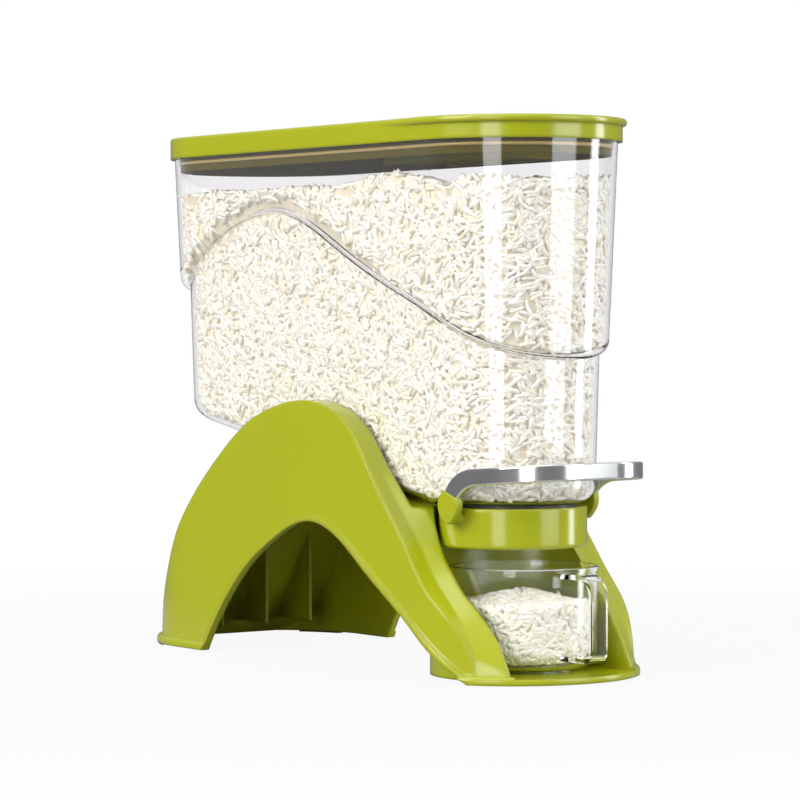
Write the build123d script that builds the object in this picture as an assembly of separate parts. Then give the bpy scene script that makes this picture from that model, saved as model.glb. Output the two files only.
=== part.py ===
from build123d import *
from math import sin, cos, tan, radians, hypot
import os

os.makedirs("parts", exist_ok=True)

# Frame: +X is the front (the pouring end), +Y the far side, +Z up, floor at z = 0, millimetres.
# The plan of every long piece is a stadium: two equal half rounds joined by straight sides.

# ---- plan axes -------------------------------------------------------------------------------
AX = 128.0                    # x of the front round's axis: outlet, collar
SPAN = 272.0                  # distance between the two round axes
BX = AX - SPAN                # x of the rear round's axis
MX = (AX + BX) / 2            # middle of the plan

# ---- stand -----------------------------------------------------------------------------------
PAD_PROUD = 1.0               # rubber feet lift the moulding off the floor
STAND_R = 75.5                # half width of the skin at the floor
STAND_DRAFT = 2.2             # degrees, the skin leans in going up
STAND_H = 176.0               # height the skin prism is drawn to, above the crest
SKIN = 3.0                    # stand wall
FLANGE_R = 78.6               # foot flange half width
FLANGE_T = 5.2                # foot flange height
POCKET_R = 54.6               # half width of the saddle pocket round the hopper
POCKET_WALL = 2.6
DECK_T = 2.6
NICHE_X = AX + 3.5            # axis of the cup niche
NICHE_R = 51.0
NICHE_WALL = 2.6
NICHE_CLOSE = 4.8             # the legs close in by this on each side towards the front
TRAY_Z = 4.7                  # top of the tray floor
LIP_W = 3.5                   # rolled lip round the arch windows
LIP_OUT = 1.9
PAD_RING = 4.4                # width of the rubber arcs under the rear rim
RIB_T, RIB_PITCH, RIB_X = 1.8, 36.0, AX - 278.0   # upright ribs inside the rear wall
# side view of the skin, x measured from the outlet axis: rear flank, then the front flank as it
# runs down the middle and as it runs down the outer side of the legs
REAR_FLANK = [(-336, 0), (-316, 18), (-299, 42), (-281, 75), (-257, 105), (-229, 130),
              (-193, 154), (-158, 165.5), (-123, 168.6)]
INNER_FLANK = [(-123, 168.6), (-97, 158.5), (-66, 135), (-30, 107), (-5, 79.4), (27, 46.8),
               (50.8, 19.5), (61, 0)]
OUTER_FLANK = [(-123, 168.6), (-82, 155), (-46, 116), (-14, 82), (4, 60), (26, 40),
               (40, 20), (44, 0)]
LEG_IN, LEG_OUT = 48.0, 61.0  # the flank changes from the inner to the outer line between these
LEG_BACK = AX - 56.0          # the two lines cross here
# side view of the arch window in both long sides
ARCH = [(-240, 0), (-226, 20), (-208, 42), (-186, 62), (-158, 79), (-119, 92.3), (-88, 85),
        (-55, 64.5), (-6, 34), (27, 10), (48, 0)]

# ---- hopper ----------------------------------------------------------------------------------
WALL = 2.3
LOW_R, LOW_Z, LOW_DRAFT = 50.9, 106.2, 1.7     # lower body at its bottom
UP_R, UP_Z, UP_DRAFT = 58.4, 180.0, 2.65       # upper body, R taken at UP_Z
RIM_Z = 338.0
FLOOR_RISE = 0.18             # floor slope towards the rear
FLOOR_FLAT = AX - 26.0        # the floor is level in front of this
CORNER = 12.0                 # bottom edge rounding
STEP_ROUND = 4.6              # rounding of the wave step
WAVE = [(80, 190), (35, 202), (-12, 224), (-60, 243), (-110, 266), (-150, 284), (-182, 289),
        (-215, 285), (-250, 273), (-292, 250), (-350, 236)]
NECK_R, NECK_WALL, NECK_DROP = 34.0, 2.2, 9.8

# ---- outlet collar, gate, lever --------------------------------------------------------------
COLLAR_R, COLLAR_WALL = 46.0, 2.6
COLLAR_TOP, COLLAR_BOT = 104.9, 79.9
PLATE_T, GATE_T, FIT = 2.2, 1.6, 0.3
SLOT_W, SLOT_PITCH, SLOT_LEN = 6.4, 14.0, 40.0
PIVOT_X, PIVOT_Z = AX + 6.0, 99.3
SHAFT_R, RUN_FIT = 2.0, 0.05
CRANK_R = 13.5                # pivot to crank pin
STROKE = 30.0                 # degrees the lever is pressed down
GATE_SHIFT = CRANK_R * sin(radians(STROKE / 2))   # gate sits this far forward when shut
CRANK_PIN_R, PIN_PLAY = 1.2, 0.13
LUG_IN, LUG_T = 50.9, 4.4     # lever lugs: inner face, thickness
SHAFT_END = LUG_IN + LUG_T - 0.9              # blind end of the shaft and rivet bores
BAIL_HALF, BAIL_FRONT, BAIL_CORNER, BAIL_T = 54.9, 86.7, 42.0, 3.6

# ---- lid -------------------------------------------------------------------------------------
LID_R, LID_WALL, LID_PLATE = 68.2, 2.2, 3.4
SKIRT_Z, LID_TOP = RIM_Z - 9.0, RIM_Z + 5.0
BEAD_R, BEAD_T = 70.7, 4.4    # finger lip round the front
PLUG_R, PLUG_Z, PLUG_WALL, PLUG_CEIL = 61.4, RIM_Z - 17.8, 2.2, RIM_Z - 11.0
SEAL_Z, SEAL_T = PLUG_Z + 4.4, 2.8
BOX_R, BOX_BACK, BOX_Z, BOX_WALL = 24.0, 102.0, PLUG_Z - 1.8, 1.8

# ---- cup -------------------------------------------------------------------------------------
CUP_X, CUP_Z = AX + 11.0, 5.0
CUP_R, CUP_WALL, CUP_TOP, CUP_RIM_R = 44.8, 1.9, 68.7, 46.15
CUP_ROUND = 10.0
HANDLE_OUT, HANDLE_W, HANDLE_T = 75.0, 12.0, 3.0


def save(shape, name):
    export_step(shape, f"parts/{name}.step")


def stadium(r, z, height, draft=0.0, back=SPAN):
    """Stadium prism about the plan axes, drafted inwards going up by `draft` degrees."""
    plan = Pos(AX - back / 2, 0, z) * SlotCenterToCenter(back, 2 * r)
    return extrude(plan, amount=height, taper=draft)


def side_prism(face_2d, y0, y1):
    """Prism across the width from a side view drawn with x from the outlet axis and z."""
    plane = Plane(origin=(AX, y1, 0), x_dir=(1, 0, 0), z_dir=(0, -1, 0))
    return extrude(plane * face_2d, amount=y1 - y0)


def side_poly(points, y0, y1):
    return side_prism(make_face(Polyline(*points, close=True)), y0, y1)


def inset(points, d):
    """Curve points moved inwards (to the right of the running direction) by d."""
    out = []
    for i, (x, z) in enumerate(points):
        x0, z0 = points[max(i - 1, 0)]
        x1, z1 = points[min(i + 1, len(points) - 1)]
        n = hypot(x1 - x0, z1 - z0)
        out.append((x + d * (z1 - z0) / n, z - d * (x1 - x0) / n))
    return out


# ---- stand -----------------------------------------------------------------------------------
def hump_section(front, y, d):
    """Side outline of the hump in the plane at y, one smooth curve set in by d."""
    rear = inset(REAR_FLANK, d)
    front = inset(front, d)
    top = ((rear[-1][0] + front[0][0]) / 2, (rear[-1][1] + front[0][1]) / 2)
    curve = [(rear[0][0], -1)] + rear[1:-1] + [top] + front[1:-1] + [(front[-1][0], -1)]
    plane = Plane(origin=(AX, y, 0), x_dir=(1, 0, 0), z_dir=(0, -1, 0))
    return plane * make_face(Spline(*curve) + Line(curve[-1], curve[0]))


def saddle_block(d):
    """Humped block of the stand, set in by d; the inner part of the legs reaches forward."""
    sides = stadium(STAND_R - d, -1, STAND_H, STAND_DRAFT)
    hump = extrude(hump_section(OUTER_FLANK, 90, d), amount=180) & sides
    lines = ((OUTER_FLANK, -LEG_OUT), (INNER_FLANK, -LEG_IN), (INNER_FLANK, LEG_IN),
             (OUTER_FLANK, LEG_OUT))
    legs = loft([hump_section(front, y, d) for front, y in lines], ruled=True) & sides
    legs &= Pos(LEG_BACK + 100, 0, 100) * Box(200, 300, 300)
    return hump + legs


def deck_line(drop):
    z = LOW_Z - drop
    return [(-350, z + FLOOR_RISE * (350 - 26)), (-26, z), (90, z)]


def pocket(r, drop):
    """Space for the hopper: its plan above the deck line."""
    above = side_poly(deck_line(drop) + [(90, 200), (-350, 200)], -90, 90)
    return stadium(r, 60, 140) & above


def niche(r, z):
    """Space for the cup: half round at the back, a little narrower towards the open front."""
    w = r - NICHE_CLOSE
    run = Polyline((0, r), (14, r), (42, w), (120, w), (120, -w), (42, -w), (14, -r), (0, -r),
                   close=True)
    plan = Pos(NICHE_X, 0) * (Circle(r) + make_face(run))
    return extrude(Pos(0, 0, z) * plan, amount=220)


def arch_prism(grow):
    points = inset(ARCH, -grow)
    points = [(x, max(z, -2) if 0 < i < len(points) - 1 else -2) for i, (x, z) in enumerate(points)]
    face = make_face(Spline(*points) + Line(points[-1], points[0]))
    return side_prism(face, -100, 100)


def make_stand():
    window = arch_prism(0) - Pos(NICHE_X, 0) * Cylinder(NICHE_R + NICHE_WALL, 400)
    window -= Pos(NICHE_X + 40, 0) * Box(80, 2 * (NICHE_R + NICHE_WALL), 400)
    flange = stadium(FLANGE_R, PAD_PROUD, FLANGE_T)
    flange = fillet(flange.edges().group_by(Axis.Z)[-1], 2.6)
    flange &= Pos(AX - 339 + 300, 0) * Box(600, 400, 400)
    tray = stadium(FLANGE_R - 1.0, PAD_PROUD, TRAY_Z - PAD_PROUD)
    tray &= niche(NICHE_R + NICHE_WALL, -5) + Pos(AX + 90, 0) * Box(100, 200, 60)
    lip = (arch_prism(LIP_W) - arch_prism(-0.01)) & stadium(STAND_R + LIP_OUT, -1, 170, STAND_DRAFT)
    lip -= stadium(STAND_R - SKIN + 0.2, -1, 170, STAND_DRAFT)
    outer = saddle_block(0)
    hollow = saddle_block(SKIN)
    hollow -= pocket(POCKET_R + POCKET_WALL, 3.0 + DECK_T)
    hollow -= niche(NICHE_R + NICHE_WALL, -5)
    stand = outer + flange + lip
    stand -= hollow
    stand -= stadium(STAND_R - SKIN, -1, FLANGE_T + 3, STAND_DRAFT) & hollow
    stand -= pocket(POCKET_R, 3.0)
    stand -= niche(NICHE_R, TRAY_Z)
    stand -= window
    stand = stand + tray + stand_ribs()
    stand &= Pos(MX, 0, 200 + PAD_PROUD) * Box(600, 400, 400)
    return stand


def stand_ribs():
    """Three upright ribs that stiffen the sloping rear wall from inside."""
    space = saddle_block(SKIN - 0.5) & Pos(RIB_X - 50, 0, 12 + 40) * Box(100, 200, 80)
    ribs = [space & Pos(RIB_X, k * RIB_PITCH, 50) * Box(200, RIB_T, 100) for k in (-1, 0, 1)]
    return Compound(ribs)


def make_foot_pads():
    """Four rubber feet: two arcs under the rear rim, two discs under the tray."""
    outer = FLANGE_R - 0.8
    ring = stadium(outer, 0, PAD_PROUD) - stadium(outer - PAD_RING, 0, PAD_PROUD)
    pads = {}
    for side, name in ((1, "far"), (-1, "near")):
        piece = Pos(BX - 0.46 * outer, side * 0.87 * outer, 0) * Box(26, 0.4 * outer, 10)
        pads[f"foot_pad_rear_{name}"] = ring & piece
        disc = Cylinder(7, PAD_PROUD)
        pads[f"foot_pad_front_{name}"] = Pos(AX + 0.57 * outer, side * 0.54 * outer,
                                             PAD_PROUD / 2) * disc
    return pads


def make_seat_pads():
    """Two soft strips lying on the sloping deck; the hopper stands on them."""
    pads = {}
    for x, name in ((-172, "rear"), (-62, "front")):
        z0, z1 = (LOW_Z + FLOOR_RISE * (-26 - u) for u in (x, x + 14))
        strip = [(x, z0 - 3.0), (x + 14, z1 - 3.0), (x + 14, z1 - 0.1), (x, z0 - 0.1)]
        pads[f"seat_pad_{name}"] = side_poly(strip, -30, 30)
    return pads


# ---- hopper ----------------------------------------------------------------------------------
def hopper_block(d):
    """Outer form of the hopper set in by d: drafted lower body, wider upper body above the wave."""
    grow = tan(radians(LOW_DRAFT))
    low = stadium(LOW_R - d - 12 * grow, LOW_Z - 12, 200, -LOW_DRAFT)
    low &= side_poly(deck_line(-d) + [(90, 300), (-350, 300)], -90, 90)
    floor_faces = low.faces().filter_by(lambda f: f.normal_at().Z < -0.9)
    edges = []
    for f in floor_faces:
        edges += [e for e in f.edges() if abs(e.center().Y) > 1 or e.center().X > AX
                  or e.center().X < BX]
    low = fillet(edges, CORNER - d)
    up = stadium(UP_R - d, UP_Z, RIM_Z - UP_Z + (5 if d else 0), -UP_DRAFT)
    wave = inset(WAVE, d)
    face = make_face(Spline(*wave) + Polyline(wave[-1], (-350, 360), (90, 360), wave[0]))
    up &= side_prism(face, -90, 90)
    lower_edges = [e for e in up.faces().filter_by(lambda f: f.normal_at().Z < -0.5)
                   .sort_by(SortBy.AREA)[-1].edges() if abs(e.tangent_at(0.5).Y) < 0.999
                   or abs(e.center().X - MX) > 150]
    up = fillet(lower_edges, STEP_ROUND - d * 0.6)
    return low + up


def make_hopper():
    hopper = hopper_block(0) - hopper_block(WALL)
    neck = Pos(AX, 0, LOW_Z - NECK_DROP / 2 + 0.6) * Cylinder(NECK_R, NECK_DROP + 1.2)
    for k in range(3):
        lug = Rot(0, 0, 60 + 120 * k) * Pos(NECK_R, 0, 0) * Box(3.0, 9, 1.8)
        neck += Pos(AX, 0, COLLAR_TOP - 3.2) * lug
    hopper += neck
    hopper -= Pos(AX, 0, LOW_Z) * Cylinder(NECK_R - NECK_WALL, 60)
    return hopper


# ---- outlet ----------------------------------------------------------------------------------
def tube(r, wall, z0, z1):
    h = z1 - z0
    return Pos(AX, 0, (z0 + z1) / 2) * (Cylinder(r, h) - Cylinder(r - wall, h + 2))


def make_collar():
    """Green cup-shaped ring locked on the neck; bosses for the plate screws and the shafts."""
    h = COLLAR_TOP - COLLAR_BOT
    body = Pos(AX, 0, COLLAR_BOT + h / 2) * Cylinder(COLLAR_R, h)
    body = fillet(body.edges().group_by(Axis.Z)[0], 2.4)
    body = fillet(body.edges().group_by(Axis.Z)[-1], 0.8)
    core = Pos(AX, 0, COLLAR_BOT + (h - 2.0) / 2 - 1) * Cylinder(COLLAR_R - COLLAR_WALL, h)
    core -= Pos(AX, 0, COLLAR_TOP) * Box(200, 200, 4.0)
    body -= core
    for x, y in screw_places():
        body += Pos(x, y, 94) * Cylinder(3.2, 20) - Pos(x, y, 90) * Cylinder(1.35, 22)
    for side in (1, -1):
        body += Pos(PIVOT_X, side * 47.3, PIVOT_Z) * Rot(90, 0, 0) * Cylinder(3.8, 6.4)
        body -= Pos(PIVOT_X, side * 47, PIVOT_Z) * Rot(90, 0, 0) * Cylinder(SHAFT_R + RUN_FIT, 12)
    body -= Pos(AX, 0, COLLAR_TOP) * Cylinder(NECK_R + 0.1, 20)
    return body


def screw_places():
    return ((AX + 28.1, 28.1), (AX + 28.1, -28.1), (AX - 39.8, 0))


def make_plate():
    """Fixed floor of the collar with three pouring slots."""
    z = COLLAR_BOT + 0.3
    plate = Pos(AX, 0, z + PLATE_T / 2) * Cylinder(COLLAR_R - COLLAR_WALL - 0.15, PLATE_T)
    for k in (-1, 0, 1):
        plate -= Pos(AX + k * SLOT_PITCH, 0, z) * Box(SLOT_W, SLOT_LEN, 10)
    for x, y in screw_places():
        plate -= Pos(x, y, z) * Cylinder(1.6, 10) + Pos(x, y, z) * Cylinder(3.0, 2.8)
    return plate


def make_plate_screws():
    z = COLLAR_BOT + 0.4
    one = Cylinder(2.8, 1.2, align=(Align.CENTER, Align.CENTER, Align.MIN))
    one += Cylinder(1.3, 10, align=(Align.CENTER, Align.CENTER, Align.MIN))
    one -= Box(3.6, 0.8, 1.2) + Box(0.8, 3.6, 1.2)
    return Compound([Pos(x, y, z) * one for x, y in screw_places()])


def make_gate():
    """Slotted slide under the funnel; its bars cover the plate slots when shut."""
    z = COLLAR_BOT + 0.3 + PLATE_T + FIT
    x = AX + GATE_SHIFT
    gate = Pos(x, 0, z + GATE_T / 2) * Box(48, 46, GATE_T)
    gate = fillet(gate.edges().filter_by(Axis.Z), 5)
    for k in (-1, 0, 1):
        gate -= Pos(x + GATE_SHIFT + k * SLOT_PITCH, 0, z) * Box(SLOT_W, SLOT_LEN, 10)
    pin_x = PIVOT_X + GATE_SHIFT
    lift = CRANK_R * (1 - cos(radians(STROKE / 2))) / 2     # the pin rises and falls by this
    pin_z = PIVOT_Z - CRANK_R + lift
    for side in (1, -1):
        gate += Pos(pin_x, side * 29, z + GATE_T / 2) * Box(14, 15.8, GATE_T)
        ear = Pos(pin_x, side * 35.9, z + 4.4) * Box(11, 2, 8.8)
        gate += fillet(ear.edges().filter_by(Axis.Y).group_by(Axis.Z)[-1], 3)
        r, play = CRANK_PIN_R + PIN_PLAY, lift + 0.1
        slot = Box(2 * r, 12, 2 * play) + Rot(90, 0, 0) * (
            Pos(0, play, 0) * Cylinder(r, 12) + Pos(0, -play, 0) * Cylinder(r, 12))
        gate -= Pos(pin_x, side * 35.9, pin_z) * slot
    return gate


def make_funnel():
    """Insert in the neck: round at the top, rounded square over the slots."""
    z0 = COLLAR_BOT + 0.3 + PLATE_T + GATE_T + 2 * FIT
    top = LOW_Z + 1.0

    def cone(r, a, b):
        low = Plane(origin=(AX, 0, z0)) * RectangleRounded(a, b, 6)
        return loft([low, Plane(origin=(AX, 0, z0 + 3)) * RectangleRounded(a, b, 6),
                     Plane(origin=(AX, 0, top)) * Circle(r)], ruled=True)

    funnel = cone(NECK_R - NECK_WALL - 0.1, 40.6, 44.0) - cone(NECK_R - NECK_WALL - 1.6, 37.6, 41.0)
    flange = Pos(AX, 0, z0 + 0.7) * Box(45, 49, 1.4) - Pos(AX, 0, z0) * Box(37.6, 41, 9)
    return funnel + flange


def make_neck_seal():
    """Soft ring squeezed between the collar and the hopper floor."""
    outer = LOW_R - CORNER + 1.0
    return tube(outer, outer - NECK_R - 0.1, COLLAR_TOP + 0.05, LOW_Z - 0.1)


def make_spring():
    """Coil round the near shaft, between the crank and the collar wall."""
    coil = Helix(pitch=0.7, height=1.05, radius=2.75)
    wire = sweep(Plane(origin=coil @ 0, z_dir=coil % 0) * Circle(0.28), path=coil)
    return Pos(PIVOT_X, -40.6, PIVOT_Z) * Rot(90, 0, 0) * wire


# ---- lever -----------------------------------------------------------------------------------
SEAM = [(3.3, 115.9), (16, 111.5)]            # where strap and lug meet
LUG = [(16, 111.5), (16.4, 105.4), (12.6, 99.4), (6.3, 95.3), (0.6, 98.3), (-3.6, 105.6),
       (-2.6, 111.2), (3.3, 115.9)]
BAND_TOP = [(3.3, 115.9), (8.5, 122), (17, 127.2), (30, 130.2)]
BAND_LOW = [(36, 119.8), (25, 117.4), (16, 111.5)]
BAND_END = [(30, 130.2), (90, 134.5), (90, 124.0), (36, 119.8)]
TANG = [(5.5, 117), (14, 113.5), (11.5, 106.5), (3.5, 109)]


def u_ring(half, front, corner):
    plan = Pos(AX + front / 2 - 20, 0) * Rectangle(front + 40, 2 * half)
    return fillet(plan.vertices().group_by(Axis.X)[-1], corner)


def make_bail():
    """Chromed strap: a level U seen from above, cut to the bent band seen from the side."""
    ring = u_ring(BAIL_HALF, BAIL_FRONT, BAIL_CORNER) - u_ring(
        BAIL_HALF - BAIL_T, BAIL_FRONT - BAIL_T, BAIL_CORNER - BAIL_T)
    band = make_face(Spline(*BAND_TOP) + Polyline(*BAND_END) + Spline(*BAND_LOW) + Line(*SEAM))
    bail = extrude(Pos(0, 0, 60) * ring, amount=120) & side_prism(band, -70, 70)
    long_edges = [e for e in bail.edges() if e.length > 25]
    bail = fillet(long_edges, 1.3)
    tang = side_poly(TANG, -70, 70) & (Pos(0, BAIL_HALF - 2, 0) * Box(800, 1.6, 400)
                                       + Pos(0, 2 - BAIL_HALF, 0) * Box(800, 1.6, 400))
    return bail + tang - rivet_holes(1.05)


def rivet_holes(r):
    """Rivet bores, blind: they stop short of the lug's outer face."""
    return Pos(AX + 8.7, 0, 110.6) * Rot(90, 0, 0) * Cylinder(r, 2 * SHAFT_END)


def make_lug(side):
    """Green end piece of the lever: bored for its shaft, slotted for the strap's tang."""
    face = make_face(Spline(*LUG) + Line(*SEAM))
    y0, y1 = sorted((side * LUG_IN, side * (LUG_IN + LUG_T)))
    lug = side_prism(face, y0, y1)
    lug = fillet(lug.faces().sort_by(Axis.Y)[-1 if side > 0 else 0].edges(), 0.7)
    lug -= axle(side, SHAFT_R + 0.02, LUG_IN - 1, SHAFT_END)
    grown = offset(make_face(Polyline(*TANG, close=True)), 0.08, kind=Kind.INTERSECTION)
    mid = side * (BAIL_HALF - 2)
    lug -= side_prism(grown, mid - 0.9, mid + 0.9)
    return lug - rivet_holes(1.05)


def axle(side, r, y0, y1):
    """Cylinder on the lever axis between two distances from the middle plane."""
    return Pos(PIVOT_X, side * (y0 + y1) / 2, PIVOT_Z) * Rot(90, 0, 0) * Cylinder(r, y1 - y0)


def make_shaft(side):
    """Steel pin pressed into the lug's blind bore, through the collar wall to the crank."""
    return axle(side, SHAFT_R, 37.7, SHAFT_END - 0.05)


def make_crank(side):
    """Small arm inside the collar whose pin shifts the gate."""
    tilt = radians(STROKE / 2)
    px, pz = PIVOT_X + CRANK_R * sin(tilt), PIVOT_Z - CRANK_R * cos(tilt)
    arm = Pos(PIVOT_X, side * 38.9, PIVOT_Z) * Rot(90, 0, 0) * Cylinder(3.3, 2.4)
    arm += Pos(px, side * 38.9, pz) * Rot(90, 0, 0) * Cylinder(2.4, 2.4)
    mid = Pos((PIVOT_X + px) / 2, side * 38.9, (PIVOT_Z + pz) / 2) * Rot(0, -STROKE / 2, 0)
    arm += mid * Box(4.4, 2.4, CRANK_R)
    arm += Pos(px, side * 36.3, pz) * Rot(90, 0, 0) * Cylinder(CRANK_PIN_R, 3.4)
    return arm - Pos(PIVOT_X, side * 39, PIVOT_Z) * Rot(90, 0, 0) * Cylinder(SHAFT_R + 0.02, 8)


def make_rivets():
    """One rivet through each lug and tang."""
    depth = SHAFT_END - LUG_IN
    return Compound([rivet_holes(1.0) & Pos(AX, side * (LUG_IN + depth / 2), 110)
                     * Box(60, depth - 0.1, 60) for side in (1, -1)])


# ---- lid -------------------------------------------------------------------------------------
def bead_plan():
    """The finger lip stands out round the front and runs into the sides behind it."""
    side = LID_R + 0.2
    taper = [(0, BEAD_R), (-45, side), (-45, -side), (0, -BEAD_R)]
    return Pos(AX, 0) * (Circle(BEAD_R) + make_face(Polyline(*taper, close=True)))


def make_lid():
    lid = stadium(LID_R, SKIRT_Z, LID_TOP - SKIRT_Z)
    lid = fillet(lid.edges().group_by(Axis.Z)[-1], 1.4)
    bead = extrude(Pos(0, 0, LID_TOP - BEAD_T) * bead_plan(), amount=BEAD_T)
    bead = fillet(bead.edges().group_by(Axis.Z)[-1] + bead.edges().group_by(Axis.Z)[0], 1.9)
    lid += bead
    dish = stadium(LID_R - 7, LID_TOP - 1.2, 5)
    dish = fillet(dish.edges().group_by(Axis.Z)[0], 1.0)
    lid -= dish
    return lid - stadium(LID_R - LID_WALL, SKIRT_Z - 1, LID_TOP - LID_PLATE - SKIRT_Z + 1)


def make_plug():
    """Inner frame of the lid: rests on the hopper rim, reaches down inside it."""
    top = LID_TOP - LID_PLATE - 0.1
    plug = stadium(PLUG_R, PLUG_Z, top - PLUG_Z)
    plug += stadium(LID_R - LID_WALL - 0.3, RIM_Z + 0.3, top - RIM_Z - 0.3)
    plug -= stadium(PLUG_R - PLUG_WALL, PLUG_Z - 1, PLUG_CEIL - PLUG_Z + 1)
    plug -= stadium(PLUG_R - PLUG_WALL, PLUG_CEIL + 2, LID_TOP - PLUG_CEIL)
    plug -= stadium(PLUG_R + 5, SEAL_Z, SEAL_T) - stadium(PLUG_R - 1.0, SEAL_Z, SEAL_T)
    return plug


def make_gasket():
    z, h = SEAL_Z + 0.2, SEAL_T - 0.4
    ring = stadium(PLUG_R + 1.1, z, h)
    ring = fillet(ring.edges().group_by(Axis.Z)[-1] + ring.edges().group_by(Axis.Z)[0], 0.9)
    return ring - stadium(PLUG_R - 0.95, z - 1, h + 2)


def box_plan(inset_by, z, height):
    r = BOX_R - inset_by
    plan = Pos(AX, 0) * Circle(r) + Pos(AX - (BOX_BACK - inset_by) / 2, 0) * Rectangle(
        BOX_BACK - inset_by, 2 * r)
    return extrude(Pos(0, 0, z) * plan, amount=height)


def make_drier_box():
    box = box_plan(0, BOX_Z, PLUG_CEIL - 0.05 - BOX_Z) - box_plan(BOX_WALL, BOX_Z - 1, 30)
    box -= box_plan(0.7, BOX_Z + 1.0, 1.8)
    box += (box_plan(0, BOX_Z, 1.0) - box_plan(3.2, BOX_Z - 1, 3))
    rear = Pos(AX - BOX_BACK, 0, BOX_Z + 1.4) * Box(8, 2 * (BOX_R - 0.7), 2.8)
    return box - rear


def make_drier_cover():
    """Pierced slide that closes the drier box from below."""
    cover = box_plan(1.0, BOX_Z + 1.3, 1.2)
    for i in range(9):
        for j in (-1, 0, 1):
            slot = Pos(AX + 6 - i * 10.5, j * 12, BOX_Z + 2) * Box(2.4, 8.5, 6)
            cover -= slot
    return cover + Pos(AX + 15, 0, BOX_Z + 0.75) * Box(2.0, 16, 1.3)


def make_sachet():
    pouch = Pos(AX - 40, 0, BOX_Z + 5.4) * Box(84, 36, 4.4)
    return fillet(pouch.edges(), 1.9)


# ---- cup -------------------------------------------------------------------------------------
def handle_outline(out, mid, height, top_round, low_round):
    face = Plane.XZ * (Pos((out + 40) / 2, mid) * Rectangle(out - 40, height))
    corners = face.vertices().group_by(Axis.X)[-1].sort_by(Axis.Z)
    face = fillet(corners[-1], top_round)
    return fillet(face.vertices().group_by(Axis.Z)[0].sort_by(Axis.X)[-1], low_round)


def make_cup():
    """Clear measuring cup with a strap handle pointing to the front."""
    base = CUP_Z + 0.7
    body = Pos(0, 0, base) * Cylinder(CUP_R, CUP_TOP - base,
                                      align=(Align.CENTER, Align.CENTER, Align.MIN))
    body = fillet(body.edges().group_by(Axis.Z)[0], CUP_ROUND)
    rim = Pos(0, 0, CUP_TOP - 3.2) * Cylinder(CUP_RIM_R, 3.2,
                                              align=(Align.CENTER, Align.CENTER, Align.MIN))
    body += fillet(rim.edges().group_by(Axis.Z)[-1], 0.7)
    foot = Pos(0, 0, CUP_Z + 0.6) * (Cylinder(34, 1.2) - Cylinder(31, 4))
    strap = handle_outline(HANDLE_OUT, 39.5, 53, 13, 8)
    gap = handle_outline(HANDLE_OUT - HANDLE_T, 39.5, 53 - 2 * HANDLE_T, 10, 5)
    loop = extrude(strap, amount=HANDLE_W / 2, both=True) - extrude(gap, amount=20, both=True)
    body += foot
    body += loop - Pos(0, 0, 40) * Cylinder(CUP_R - 0.9, 90)
    inner = Pos(0, 0, base + 2.2) * Cylinder(CUP_R - CUP_WALL, 80,
                                             align=(Align.CENTER, Align.CENTER, Align.MIN))
    inner = fillet(inner.edges().group_by(Axis.Z)[0], CUP_ROUND - 1.6)
    return Pos(CUP_X, 0, 0) * (body - inner)


if __name__ == "__main__":
    save(make_stand(), "stand_shell")
    for name, pad in {**make_foot_pads(), **make_seat_pads()}.items():
        save(pad, name)
    save(make_hopper(), "hopper_body")
    save(make_collar(), "outlet_collar")
    save(make_plate(), "outlet_plate")
    save(make_plate_screws(), "plate_screws")
    save(make_gate(), "outlet_gate")
    save(make_funnel(), "outlet_funnel")
    save(make_neck_seal(), "neck_seal")
    save(make_spring(), "return_spring")
    save(make_bail(), "lever_bail")
    for side, name in ((1, "far"), (-1, "near")):
        save(make_lug(side), f"lever_lug_{name}")
        save(make_shaft(side), f"lever_shaft_{name}")
        save(make_crank(side), f"gate_crank_{name}")
    save(make_rivets(), "bail_rivets")
    save(make_lid(), "lid_shell")
    save(make_plug(), "lid_plug")
    save(make_gasket(), "lid_gasket")
    save(make_drier_box(), "drier_box")
    save(make_drier_cover(), "drier_cover")
    save(make_sachet(), "drier_sachet")
    save(make_cup(), "measuring_cup")
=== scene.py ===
import math

import bpy
import numpy as np
from mathutils import Matrix, Vector
from mathutils.bvhtree import BVHTree


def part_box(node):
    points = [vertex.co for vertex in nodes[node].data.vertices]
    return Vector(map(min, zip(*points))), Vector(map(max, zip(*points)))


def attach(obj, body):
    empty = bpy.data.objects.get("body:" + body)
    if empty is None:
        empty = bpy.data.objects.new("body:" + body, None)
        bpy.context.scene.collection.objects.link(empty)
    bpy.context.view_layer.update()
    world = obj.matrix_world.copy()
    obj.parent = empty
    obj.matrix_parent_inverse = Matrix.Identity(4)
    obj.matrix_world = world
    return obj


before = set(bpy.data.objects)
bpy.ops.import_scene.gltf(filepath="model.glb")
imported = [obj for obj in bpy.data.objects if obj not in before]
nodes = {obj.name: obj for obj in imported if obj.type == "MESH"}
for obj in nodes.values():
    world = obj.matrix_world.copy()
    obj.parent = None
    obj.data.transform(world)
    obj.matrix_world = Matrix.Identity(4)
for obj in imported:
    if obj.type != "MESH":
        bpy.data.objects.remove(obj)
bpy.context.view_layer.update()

# ---- view ------------------------------------------------------------------------------------
# A product view from the front left corner, at the height of the hopper, with a long lens.
# The camera stands about two metres from the dispenser, and rolled by a fraction of a degree.
CAMERA_AT = Vector((1.80232, -1.27592, 0.22015))
LOOK = Vector((-0.81477585, 0.57929205, -0.02368611))
ROLL = math.radians(-0.133)
LENS = 153.08

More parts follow.
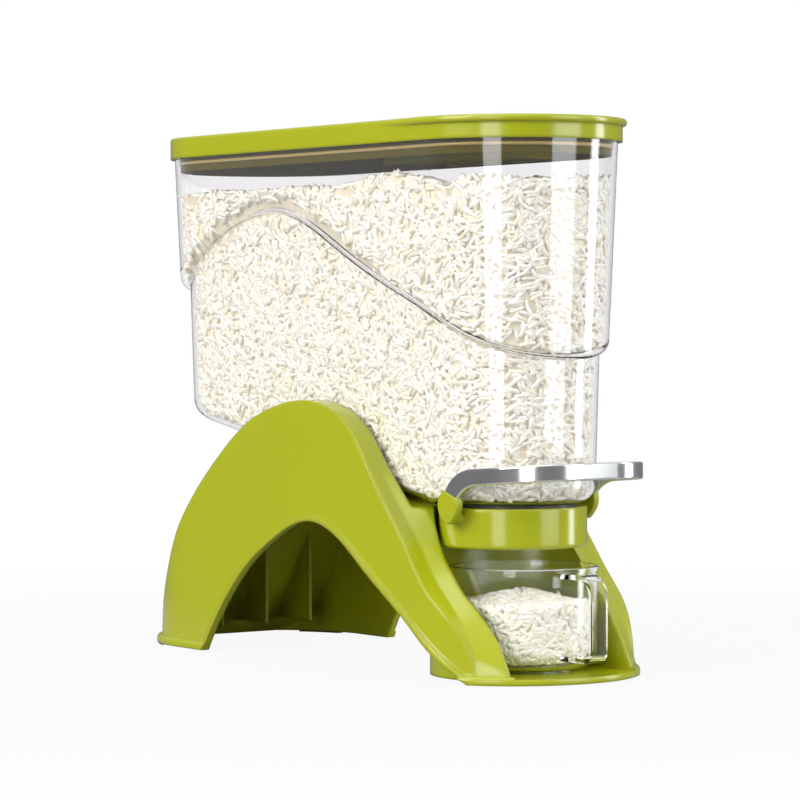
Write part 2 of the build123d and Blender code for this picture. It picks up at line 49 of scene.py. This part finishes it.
camera_data = bpy.data.cameras.new("camera")
camera_data.lens = LENS
camera_data.sensor_width = 36.0
camera_data.clip_start = 0.05
camera = bpy.data.objects.new("camera", camera_data)
bpy.context.scene.collection.objects.link(camera)
right = LOOK.cross(Vector((0, 0, 1))).normalized()
up = right.cross(LOOK)
right, up = (right * math.cos(ROLL) + up * math.sin(ROLL),
             up * math.cos(ROLL) - right * math.sin(ROLL))
turn = Matrix((right, up, -LOOK)).transposed().to_4x4()
camera.matrix_world = Matrix.Translation(CAMERA_AT) @ turn
bpy.context.scene.camera = camera
bpy.context.scene.view_settings.view_transform = "Standard"


# ---- studio ----------------------------------------------------------------------------------
# A white sweep: a pale floor that keeps a faint shadow, a sky that is bright overhead and dim
# round the horizon, and soft boxes. The narrow ones draw the upright streaks on clear and
# glossy pieces; the dim horizon between them gives the chrome its dark stripes.
def node_tree(holder):
    holder.use_nodes = True
    tree = holder.node_tree
    tree.nodes.clear()
    return tree, tree.nodes, tree.links


SKY_HIGH, SKY_LOW = 0.85, 0.20
world = bpy.data.worlds.new("studio_sky")
bpy.context.scene.world = world
tree, new, links = node_tree(world)
path = new.new("ShaderNodeLightPath")
seen = new.new("ShaderNodeMath")
seen.operation = "MAXIMUM"
links.new(path.outputs["Is Camera Ray"], seen.inputs[0])
links.new(path.outputs["Is Transmission Ray"], seen.inputs[1])
sky = new.new("ShaderNodeBackground")
sky.inputs["Color"].default_value = (0.97, 0.985, 1.0, 1)
place = new.new("ShaderNodeTexCoord")
height = new.new("ShaderNodeSeparateXYZ")
rise = new.new("ShaderNodeMapRange")
rise.interpolation_type = "SMOOTHSTEP"
rise.inputs["From Min"].default_value = 0.05
rise.inputs["From Max"].default_value = 0.95
rise.inputs["To Min"].default_value = SKY_LOW
rise.inputs["To Max"].default_value = SKY_HIGH
links.new(place.outputs["Generated"], height.inputs[0])
links.new(height.outputs["Z"], rise.inputs["Value"])
links.new(rise.outputs[0], sky.inputs["Strength"])
white = new.new("ShaderNodeBackground")
white.inputs["Color"].default_value = (1, 1, 1, 1)
white.inputs["Strength"].default_value = 1.0
pick = new.new("ShaderNodeMixShader")
out = new.new("ShaderNodeOutputWorld")
links.new(seen.outputs[0], pick.inputs[0])
links.new(sky.outputs[0], pick.inputs[1])
links.new(white.outputs[0], pick.inputs[2])
links.new(pick.outputs[0], out.inputs[0])


def soft_box(name, at, toward, wide, high, watts, colour):
    """A rectangular soft box that shows in reflections."""
    data = bpy.data.lights.new(name, "AREA")
    data.shape = "RECTANGLE"
    data.size = wide
    data.size_y = high
    data.energy = watts
    data.color = colour
    lamp = bpy.data.objects.new(name, data)
    bpy.context.scene.collection.objects.link(lamp)
    lamp.location = at
    lamp.rotation_euler = (Vector(toward) - Vector(at)).to_track_quat("-Z", "Y").to_euler()
    return lamp


MIDDLE = Vector((0.0, 0.0, 0.19))
soft_box("box_near", (-0.10, -2.15, 1.15), MIDDLE, 1.3, 1.2, 47, (1.0, 0.985, 0.93))
soft_box("box_corner", (1.20, -1.80, 0.45), MIDDLE, 0.75, 1.1, 12, (1.0, 1.0, 1.0))
soft_box("box_front", (2.30, 0.85, 0.75), MIDDLE, 1.3, 1.7, 30, (0.97, 1.0, 1.0))
soft_box("box_right", (0.95, 1.75, 0.50), MIDDLE, 0.42, 1.7, 18, (1.0, 1.0, 1.0))
soft_box("box_above", (0.1, -0.4, 2.3), MIDDLE, 1.4, 1.4, 14, (1.0, 1.0, 1.0))

FLOOR_HALF = 1.6
PAPER_GLOW = 0.93             # share of the paper that the lens sees as plain white
floor_mesh = bpy.data.meshes.new("floor")
corners = [(x * FLOOR_HALF, y * FLOOR_HALF, -0.0002) for x, y in ((-1, -1), (1, -1), (1, 1), (-1, 1))]
floor_mesh.from_pydata(corners, [], [(0, 1, 2, 3)])
floor = bpy.data.objects.new("floor", floor_mesh)
bpy.context.scene.collection.objects.link(floor)
floor_paint = bpy.data.materials.new("white_sweep")
tree, new, links = node_tree(floor_paint)
place = new.new("ShaderNodeTexCoord")
round_off = new.new("ShaderNodeTexGradient")
round_off.gradient_type = "SPHERICAL"
shrink = new.new("ShaderNodeMapping")
shrink.inputs["Scale"].default_value = (1 / 0.9, 1 / 0.9, 1 / 0.9)
fade = new.new("ShaderNodeMapRange")
fade.inputs["From Min"].default_value = 0.05
fade.inputs["From Max"].default_value = 0.55
path = new.new("ShaderNodeLightPath")
seen = new.new("ShaderNodeMath")
seen.operation = "MAXIMUM"
paper = new.new("ShaderNodeBsdfDiffuse")
paper.inputs["Color"].default_value = (0.34, 0.34, 0.33, 1)
lit = new.new("ShaderNodeEmission")
lit.inputs["Color"].default_value = (1, 1, 1, 1)
share = new.new("ShaderNodeMath")
share.operation = "MULTIPLY"
share.inputs[1].default_value = PAPER_GLOW
blend = new.new("ShaderNodeMixShader")
clear = new.new("ShaderNodeBsdfTransparent")
far_off = new.new("ShaderNodeMixShader")
out = new.new("ShaderNodeOutputMaterial")
links.new(place.outputs["Object"], shrink.inputs["Vector"])
links.new(shrink.outputs[0], round_off.inputs[0])
links.new(round_off.outputs["Fac"], fade.inputs["Value"])
links.new(path.outputs["Is Camera Ray"], seen.inputs[0])
links.new(path.outputs["Is Transmission Ray"], seen.inputs[1])
links.new(seen.outputs[0], share.inputs[0])
links.new(share.outputs[0], blend.inputs[0])
links.new(paper.outputs[0], blend.inputs[1])
links.new(lit.outputs[0], blend.inputs[2])
links.new(fade.outputs[0], far_off.inputs[0])
links.new(clear.outputs[0], far_off.inputs[1])
links.new(blend.outputs[0], far_off.inputs[2])
links.new(far_off.outputs[0], out.inputs[0])
floor_mesh.materials.append(floor_paint)


# ---- stand -----------------------------------------------------------------------------------
# One glossy lime-green moulding: a saddle on an arch, with a cup niche and tray in front.
# The polished mould leaves a faint ripple, and every edge is softened by about three millimetres.
def dress(name, material):
    """Gives a CAD piece its finish."""
    piece = nodes[name]
    piece.data.materials.clear()
    piece.data.materials.append(material)
    return piece


def moulded(name, colour, rough, ripple=0.02, mottle=0.04, size=60.0, edge=0.0004, coat=0.25):
    """Injection-moulded plastic: slight colour drift, fine ripple, clear top sheen, soft edges."""
    paint = bpy.data.materials.new(name)
    tree, new, links = node_tree(paint)
    place = new.new("ShaderNodeTexCoord")
    cloud = new.new("ShaderNodeTexNoise")
    cloud.inputs["Scale"].default_value = 9.0
    cloud.inputs["Detail"].default_value = 3.0
    drift = new.new("ShaderNodeMapRange")
    drift.inputs["To Min"].default_value = 1 - mottle
    drift.inputs["To Max"].default_value = 1 + mottle
    tone = new.new("ShaderNodeMix")
    tone.data_type = "RGBA"
    tone.blend_type = "MULTIPLY"
    tone.inputs["Factor"].default_value = 1.0
    tone.inputs["A"].default_value = (*colour, 1)
    fine = new.new("ShaderNodeTexNoise")
    fine.inputs["Scale"].default_value = size
    fine.inputs["Detail"].default_value = 2.0
    bump = new.new("ShaderNodeBump")
    bump.inputs["Strength"].default_value = ripple
    bump.inputs["Distance"].default_value = 0.002
    soften = new.new("ShaderNodeBevel")
    soften.samples = 6
    soften.inputs["Radius"].default_value = edge
    links.new(soften.outputs[0], bump.inputs["Normal"])
    spread = new.new("ShaderNodeMapRange")
    spread.inputs["To Min"].default_value = rough * 0.8
    spread.inputs["To Max"].default_value = rough * 1.2
    skin = new.new("ShaderNodeBsdfPrincipled")
    skin.inputs["Coat Weight"].default_value = coat
    skin.inputs["Specular IOR Level"].default_value = 2 * coat
    skin.inputs["Coat Roughness"].default_value = 0.08
    skin.inputs["IOR"].default_value = 1.5
    out = new.new("ShaderNodeOutputMaterial")
    links.new(place.outputs["Object"], cloud.inputs["Vector"])
    links.new(place.outputs["Object"], fine.inputs["Vector"])
    links.new(cloud.outputs["Fac"], drift.inputs["Value"])
    links.new(drift.outputs[0], tone.inputs["B"])
    links.new(tone.outputs["Result"], skin.inputs["Base Color"])
    links.new(fine.outputs["Fac"], bump.inputs["Height"])
    links.new(fine.outputs["Fac"], spread.inputs["Value"])
    links.new(spread.outputs[0], skin.inputs["Roughness"])
    links.new(bump.outputs[0], skin.inputs["Normal"])
    links.new(skin.outputs[0], out.inputs[0])
    return paint


LIME = (0.335, 0.365, 0.006)
lime_plastic = moulded("lime_plastic", LIME, 0.20, edge=0.0030)
stand = dress("stand_shell", lime_plastic)

# ---- feet and seats --------------------------------------------------------------------------
# Thin dark rubber: two arcs under the rear rim, two discs under the tray, and two strips lying
# on the sloping deck, on which the hopper rests. The seal on the neck is of the same rubber.
rubber = moulded("dark_rubber", (0.035, 0.035, 0.032), 0.6, ripple=0.08, mottle=0.1, size=300)
for name in nodes:
    if name.startswith(("foot_pad", "seat_pad", "neck_seal")):
        dress(name, rubber)


# ---- hopper ----------------------------------------------------------------------------------
# One clear moulding of hard plastic, walls a little over two millimetres, wider above a wavy
# step. It is glass-clear face on, and faintly lilac where one looks along a wall.
def clear_moulding(name, tint, rough=0.02):
    """Clear plastic that lets the lamps through, so that what it holds is lit."""
    paint = bpy.data.materials.new(name)
    tree, new, links = node_tree(paint)
    path = new.new("ShaderNodeLightPath")
    through = new.new("ShaderNodeMath")
    through.operation = "MAXIMUM"
    body = new.new("ShaderNodeBsdfPrincipled")
    body.inputs["Base Color"].default_value = (*tint, 1)
    body.inputs["Roughness"].default_value = rough
    body.inputs["Transmission Weight"].default_value = 1.0
    body.inputs["IOR"].default_value = 1.46
    shade = new.new("ShaderNodeBsdfTransparent")
    shade.inputs["Color"].default_value = (0.95, 0.95, 0.95, 1)
    pick = new.new("ShaderNodeMixShader")
    out = new.new("ShaderNodeOutputMaterial")
    links.new(path.outputs["Is Shadow Ray"], through.inputs[0])
    links.new(path.outputs["Is Diffuse Ray"], through.inputs[1])
    links.new(through.outputs[0], pick.inputs[0])
    links.new(body.outputs[0], pick.inputs[1])
    links.new(shade.outputs[0], pick.inputs[2])
    links.new(pick.outputs[0], out.inputs[0])
    return paint


hopper = dress("hopper_body", clear_moulding("clear_hopper", (0.985, 0.975, 0.99)))

# ---- outlet ----------------------------------------------------------------------------------
# A green moulded collar locks on the neck by its bayonet lugs. A slotted plate, held by three
# screws, closes it from below; over the plate run an ivory slide and its two cranks.
dress("outlet_collar", lime_plastic)
dress("outlet_plate", moulded("olive_plastic", (0.20, 0.24, 0.012), 0.3))
ivory = moulded("ivory_plastic", (0.80, 0.79, 0.72), 0.4, ripple=0.03)
for name in ("outlet_gate", "outlet_funnel", "gate_crank_near", "gate_crank_far"):
    dress(name, ivory)


def metal(name, colour, rough, along=(1, 1, 1)):
    """Bare or plated metal, with faint drawn lines."""
    paint = bpy.data.materials.new(name)
    tree, new, links = node_tree(paint)
    place = new.new("ShaderNodeTexCoord")
    stretch = new.new("ShaderNodeMapping")
    stretch.inputs["Scale"].default_value = along
    lines = new.new("ShaderNodeTexNoise")
    lines.inputs["Scale"].default_value = 40.0
    lines.inputs["Detail"].default_value = 4.0
    spread = new.new("ShaderNodeMapRange")
    spread.inputs["To Min"].default_value = rough * 0.6
    spread.inputs["To Max"].default_value = rough * 1.4
    skin = new.new("ShaderNodeBsdfPrincipled")
    skin.inputs["Base Color"].default_value = (*colour, 1)
    skin.inputs["Metallic"].default_value = 1.0
    out = new.new("ShaderNodeOutputMaterial")
    links.new(place.outputs["Object"], stretch.inputs["Vector"])
    links.new(stretch.outputs[0], lines.inputs["Vector"])
    links.new(lines.outputs["Fac"], spread.inputs["Value"])
    links.new(spread.outputs[0], skin.inputs["Roughness"])
    links.new(skin.outputs[0], out.inputs[0])
    return paint


steel = metal("plain_steel", (0.55, 0.55, 0.56), 0.3, (1, 1, 30))
for name in ("plate_screws", "return_spring", "lever_shaft_near", "lever_shaft_far"):
    dress(name, steel)

# ---- lever -----------------------------------------------------------------------------------
# A flat steel strap, bent into a level U and chromed all over, with smooth broad reflections.
# A green moulded end piece is riveted on each arm and pressed on the end of its shaft.
chrome = metal("chrome_plate", (0.80, 0.80, 0.80), 0.17)
dress("lever_bail", chrome)
dress("bail_rivets", chrome)
dress("lever_lug_near", lime_plastic)
dress("lever_lug_far", lime_plastic)

# ---- lid -------------------------------------------------------------------------------------
# A shallow green cap with a finger lip round the front, an inner frame with a soft tan gasket,
# and a box for a drying sachet under its front half. The pieces inside are duller, and darker
# by painted shade: they are coloured as they look in the shade under the lid.
dress("lid_shell", lime_plastic)
# Painted shade: the inner frame is painted a dark olive for the shade it lies in under the lid.
dress("lid_plug", moulded("inner_frame_painted_shade", (0.085, 0.070, 0.002), 0.6, coat=0.0))
# Painted shade: a darker copy of the lime, for the drier box and its cover in the shade under the
# lid.
shaded_lime = moulded("shaded_lime_plastic", (0.27, 0.245, 0.006), 0.5, coat=0.0)
dress("drier_box", shaded_lime)
dress("drier_cover", shaded_lime)
dress("lid_gasket", moulded("tan_silicone", (0.42, 0.30, 0.08), 0.35, ripple=0.02))
dress("drier_sachet", moulded("paper_pouch", (0.78, 0.78, 0.75), 0.8, ripple=0.3, size=400))

# ---- cup -------------------------------------------------------------------------------------
# A clear measuring cup, moulded in one piece with its strap handle, a little greener than the
# hopper. It stands loose on the tray with the handle to the front.
cup = dress("measuring_cup", clear_moulding("clear_cup", (0.98, 0.985, 0.985)))

# ---- rice in the hopper ----------------------------------------------------------------------
# Long white grains fill the hopper to about three centimetres below its rim, heaped a little
# towards the front.
# A cream core stands for the grains behind, and loose grains lie against the walls over it.
# The core is tanner than the loose grains: painted shade for the gaps between them.
GRAIN_LONG = (0.0088, 0.0118)
GRAIN_THICK = (0.0036, 0.0043)
AXIS_REAR, AXIS_FRONT = -0.144, 0.128      # axes of the hopper's two half rounds
HALF_TURN_STEPS, ROW_STEPS = 44, 60
RICE_TOP = 0.3035
CORE_INSET = 0.0030
STEP = 0.004
rng = np.random.default_rng(7)


def rice_level(x, y):
    """Height of the rice: nearly level, with a shallow heap and a dip before the front."""
    heap = 0.0052 * math.exp(-((x - 0.086) / 0.034) ** 2)
    dip = 0.0058 * math.exp(-((x - 0.137) / 0.011) ** 2)
    front = 0.0022 * math.exp(-((x - 0.160) / 0.012) ** 2)
    return RICE_TOP + heap - dip + front + 0.0006 * math.sin(70 * x + 50 * y)


def wall_tree(piece):
    mesh = piece.data
    mesh.calc_loop_triangles()
    points = [piece.matrix_world @ v.co for v in mesh.vertices]
    return BVHTree.FromPolygons(points, [tuple(t.vertices) for t in mesh.loop_triangles])


def core_mesh(name, rows):
    """A closed skin over rows of points that all have one length and meet at both ends."""
    count = len(rows[0])
    points = [p for row in rows for p in row]
    faces = []
    for i in range(len(rows)):
        j = (i + 1) % len(rows)
        for k in range(count - 1):
            faces.append((i * count + k, j * count + k, j * count + k + 1, i * count + k + 1))
    mesh = bpy.data.meshes.new(name)
    mesh.from_pydata(points, [], faces)
    mesh.validate()
    return mesh


def rice_finish(name, colour, rough):
    paint = bpy.data.materials.new(name)
    tree, new, links = node_tree(paint)
    place = new.new("ShaderNodeTexCoord")
    cloud = new.new("ShaderNodeTexNoise")
    cloud.inputs["Scale"].default_value = 260.0
    cloud.inputs["Detail"].default_value = 2.0
    drift = new.new("ShaderNodeMapRange")
    drift.inputs["To Min"].default_value = 0.86
    drift.inputs["To Max"].default_value = 1.10
    tone = new.new("ShaderNodeMix")
    tone.data_type = "RGBA"
    tone.blend_type = "MULTIPLY"
    tone.inputs["Factor"].default_value = 1.0
    tone.inputs["A"].default_value = (*colour, 1)
    skin = new.new("ShaderNodeBsdfPrincipled")
    skin.inputs["Roughness"].default_value = rough
    out = new.new("ShaderNodeOutputMaterial")
    links.new(place.outputs["Object"], cloud.inputs["Vector"])
    links.new(cloud.outputs["Fac"], drift.inputs["Value"])
    links.new(drift.outputs[0], tone.inputs["B"])
    links.new(tone.outputs["Result"], skin.inputs["Base Color"])
    links.new(skin.outputs[0], out.inputs[0])
    return paint


rice_white = rice_finish("rice_white", (0.90, 0.885, 0.81), 0.40)
rice_cream = rice_finish("rice_cream", (0.86, 0.81, 0.68), 0.40)
# Painted shade: the core is tanner and darker than the grains, for the shade in the gaps.
rice_core = rice_finish("rice_core", (0.84, 0.77, 0.62), 0.7)


def grain_shape(sides, rings):
    """Points of one grain, one long and one thick, along x, and its triangles."""
    points = [(-0.5, 0, 0)]
    for r in range(rings):
        t = 0.62 * r / (rings - 1) - 0.31
        wide = 0.5 * math.sqrt(1 - (2 * t) ** 2) ** 0.6
        for s in range(sides):
            a = 2 * math.pi * s / sides
            points.append((t, wide * math.cos(a), wide * math.sin(a)))
    points.append((0.5, 0, 0))
    faces = []
    last = len(points) - 1
    for s in range(sides):
        n = (s + 1) % sides
        faces.append((0, 1 + n, 1 + s))
        base = 1 + (rings - 1) * sides
        faces.append((last, base + s, base + n))
        for r in range(rings - 1):
            a, b = 1 + r * sides, 1 + (r + 1) * sides
            faces.append((a + s, a + n, b + n))
            faces.append((a + s, b + n, b + s))
    return np.array(points), np.array(faces)


def spots_on(mesh, density):
    """Points spread evenly at random over a mesh, with the outward side at each."""
    mesh.calc_loop_triangles()
    corners = np.empty(len(mesh.vertices) * 3)
    mesh.vertices.foreach_get("co", corners)
    corners = corners.reshape(-1, 3)
    thirds = np.array([t.vertices[:] for t in mesh.loop_triangles])
    a, b, c = (corners[thirds[:, k]] for k in range(3))
    cross = np.cross(b - a, c - a)
    area = np.linalg.norm(cross, axis=1) / 2
    count = int(area.sum() * density)
    pick = rng.choice(len(area), count, p=area / area.sum())
    u, v = rng.random(count), rng.random(count)
    flip = u + v > 1
    u[flip], v[flip] = 1 - u[flip], 1 - v[flip]
    spot = a[pick] + u[:, None] * (b - a)[pick] + v[:, None] * (c - a)[pick]
    side = cross[pick] / (2 * area[pick])[:, None]
    return spot, side


def lay_grains(spot, side, proud, tilt):
    """Centre, long direction and size of one grain at each spot, lying nearly flat on it."""
    count = len(spot)
    any_way = rng.normal(size=(count, 3))
    along = np.cross(side, any_way)
    along /= np.linalg.norm(along, axis=1)[:, None]
    lean = rng.normal(size=count) * tilt
    along = along * np.cos(lean)[:, None] + side * np.sin(lean)[:, None]
    centre = spot + side * (proud * rng.random(count))[:, None]
    long = rng.uniform(*GRAIN_LONG, count)
    thick = rng.uniform(*GRAIN_THICK, count)
    return centre, along, long, thick


def grains_mesh(name, centre, along, long, thick, shape):
    points, faces = shape
    count = len(centre)
    ref = np.where(np.abs(along[:, 2:]) < 0.9, [[0, 0, 1.0]], [[1.0, 0, 0]])
    across = np.cross(along, ref)
    across /= np.linalg.norm(across, axis=1)[:, None]
    third = np.cross(along, across)
    all_points = (centre[:, None] + along[:, None] * (points[:, 0] * long[:, None])[:, :, None]
                  + across[:, None] * (points[:, 1] * thick[:, None])[:, :, None]
                  + third[:, None] * (points[:, 2] * thick[:, None] * 0.85)[:, :, None])
    all_faces = faces[None] + (np.arange(count) * len(points))[:, None, None]
    mesh = bpy.data.meshes.new(name)
    mesh.vertices.add(count * len(points))
    mesh.vertices.foreach_set("co", all_points.ravel())
    flat = all_faces.reshape(-1, 3)
    mesh.loops.add(flat.size)
    mesh.loops.foreach_set("vertex_index", flat.ravel().astype(np.int32))
    mesh.polygons.add(len(flat))
    mesh.polygons.foreach_set("loop_start", np.arange(0, flat.size, 3, dtype=np.int32))
    mesh.materials.append(rice_white)
    mesh.materials.append(rice_cream)
    shade = np.repeat((rng.random(count) < 0.3).astype(np.int32), len(faces))
    mesh.polygons.foreach_set("material_index", shade)
    mesh.polygons.foreach_set("use_smooth", np.ones(len(flat), dtype=bool))
    mesh.update()
    mesh.validate()
    piece = bpy.data.objects.new(name, mesh)
    bpy.context.scene.collection.objects.link(piece)
    return piece


hopper_wall = wall_tree(hopper)
FLOOR_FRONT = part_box("hopper_body")[0][2] + 0.0125


def stations():
    """Origin and outward direction round the plan: both straight sides and both half rounds."""
    result = []
    straight = int((AXIS_FRONT - AXIS_REAR) / STEP)
    for i in range(straight):
        result.append((AXIS_REAR + i * (AXIS_FRONT - AXIS_REAR) / straight, -math.pi / 2))
    for i in range(HALF_TURN_STEPS):
        result.append((AXIS_FRONT, -math.pi / 2 + math.pi * i / HALF_TURN_STEPS))
    for i in range(straight):
        result.append((AXIS_FRONT - i * (AXIS_FRONT - AXIS_REAR) / straight, math.pi / 2))
    for i in range(HALF_TURN_STEPS):
        result.append((AXIS_REAR, math.pi / 2 + math.pi * i / HALF_TURN_STEPS))
    return result


def floor_under(x):
    hit = hopper_wall.ray_cast(Vector((x, 0, 0.25)), Vector((0, 0, -1)))[0]
    return max(hit.z, FLOOR_FRONT) if hit else FLOOR_FRONT


def core_row(x, turn_to):
    """One line of points up the wall from the middle of the floor to the middle of the top."""
    low = floor_under(x)
    middle = low + 0.55 * (RICE_TOP - low)
    start = Vector((x, 0, middle))
    out_way = Vector((math.cos(turn_to), math.sin(turn_to), 0))
    row = []
    for k in range(ROW_STEPS + 1):
        lift = math.radians(-89.5 + 179 * k / ROW_STEPS)
        way = out_way * math.cos(lift) + Vector((0, 0, math.sin(lift)))
        hit, facing = hopper_wall.ray_cast(start, way)[:2]
        if hit is None or hit.z < FLOOR_FRONT:
            hit = start + way * ((FLOOR_FRONT - middle) / way.z if way.z < -0.01 else 0.05)
            facing = Vector((0, 0, 1))
        if facing.dot(way) > 0:
            facing = -facing
        point = hit + facing * CORE_INSET
        level = rice_level(point.x, point.y)
        if point.z > level:
            point = start + way * ((level - middle) / way.z)
            for _ in range(3):
                point = start + way * ((rice_level(point.x, point.y) - middle) / way.z)
        row.append(point)
    return row


core = core_mesh("rice_core", [core_row(x, a) for x, a in stations()])
core.materials.append(rice_core)
rice_heart = bpy.data.objects.new("rice_core", core)
bpy.context.scene.collection.objects.link(rice_heart)
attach(rice_heart, "hopper")

spot, side = spots_on(core, 118000)
away = np.stack([np.zeros(len(spot)), spot[:, 1], spot[:, 2] - 0.22], axis=1)
side *= np.where((side * away).sum(1) < 0, -1, 1)[:, None]
is_top = side[:, 2] > 0.75
centre, along, long, thick = lay_grains(spot, side, 0.0012, 0.10)


def clear_of_wall(centre, along, long, thick, tree, inner):
    """Keeps the grains whose middle and ends lie inside the wall with room for their thickness."""
    keep = np.ones(len(centre), dtype=bool)
    for i in range(len(centre)):
        for end in (-0.5, 0.0, 0.5):
            p = Vector(centre[i] + along[i] * long[i] * end)
            hit, facing, _, gap = tree.find_nearest(p)
            if hit is None:
                continue
            inward = Vector((np.clip(p.x, *inner) - hit.x, -hit.y, 0.24 - hit.z)).dot(p - hit) > 0
            if not inward or gap < (0.0002 if end else thick[i] * 0.5):
                keep[i] = False
                break
    return keep


keep = clear_of_wall(centre, along, long, thick, hopper_wall, (AXIS_REAR, AXIS_FRONT))
print("rice grains", len(keep), "kept", keep.sum())
grain = grain_shape(5, 2)
groups = {"rice_top": is_top, "rice_underside": side[:, 2] < -0.75,
          "rice_near_side": (np.abs(side[:, 2]) <= 0.75) & (side[:, 1] < 0),
          "rice_far_side": (np.abs(side[:, 2]) <= 0.75) & (side[:, 1] >= 0)}
for name, group in groups.items():
    chosen = group & keep
    piece = grains_mesh(name, centre[chosen], along[chosen], long[chosen], thick[chosen], grain)
    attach(piece, "hopper")

# ---- rice in the cup -------------------------------------------------------------------------
# A measure of the same rice, filled to two thirds of the cup and heaped in the middle.
# The core is turned about the cup's axis, and the grains lie on it as in the hopper.
cup_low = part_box("measuring_cup")[0]
CUP_AXIS = AXIS_FRONT + 0.011
CUP_RICE_R, CUP_RICE_FLOOR, CUP_RICE_TOP = 0.0427, cup_low[2] + 0.0031, 0.047
CUP_CORE_INSET, CUP_EDGE_DROP, CUP_HEAP = 0.0030, 0.002, 0.0065


def cup_row(a):
    """One line of points from the middle of the cup's floor, out, up and back over the mound."""
    row = []
    inset = CUP_CORE_INSET
    side_r = CUP_RICE_R - inset
    for k in range(9):
        row.append((side_r * 0.8 * k / 8, CUP_RICE_FLOOR + inset))
    for k in range(1, 5):
        t = math.pi / 2 * k / 4
        row.append((side_r * 0.8 + side_r * 0.2 * math.sin(t),
                    CUP_RICE_FLOOR + inset + side_r * 0.2 * (1 - math.cos(t))))
    edge = CUP_RICE_TOP - CUP_EDGE_DROP + 0.0012 * math.sin(3 * a + 1)
    for k in range(1, 7):
        row.append((side_r, row[12][1] + (edge - row[12][1]) * k / 6))
    for k in range(1, 9):
        r = side_r * (1 - k / 8)
        mound = CUP_HEAP * math.cos(math.pi / 2 * (r / side_r)) ** 1.3
        row.append((r, edge + mound))
    row[-1] = (0, CUP_RICE_TOP - CUP_EDGE_DROP + CUP_HEAP)
    return [Vector((CUP_AXIS + r * math.cos(a), r * math.sin(a), z)) for r, z in row]


cup_core = core_mesh("cup_rice_core", [cup_row(2 * math.pi * i / 48) for i in range(48)])
cup_core.materials.append(rice_core)
cup_heart = bpy.data.objects.new("cup_rice_core", cup_core)
bpy.context.scene.collection.objects.link(cup_heart)
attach(cup_heart, "cup")

spot, side = spots_on(cup_core, 150000)
away = spot - np.array([CUP_AXIS, 0, 0.030])
side *= np.where((side * away).sum(1) < 0, -1, 1)[:, None]
centre, along, long, thick = lay_grains(spot, side, 0.0006, 0.08)
keep = clear_of_wall(centre, along, long, thick, wall_tree(cup), (CUP_AXIS, CUP_AXIS))
cup_grains = grains_mesh("rice_in_cup", centre[keep], along[keep], long[keep], thick[keep],
                         grain_shape(6, 3))
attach(cup_grains, "cup")
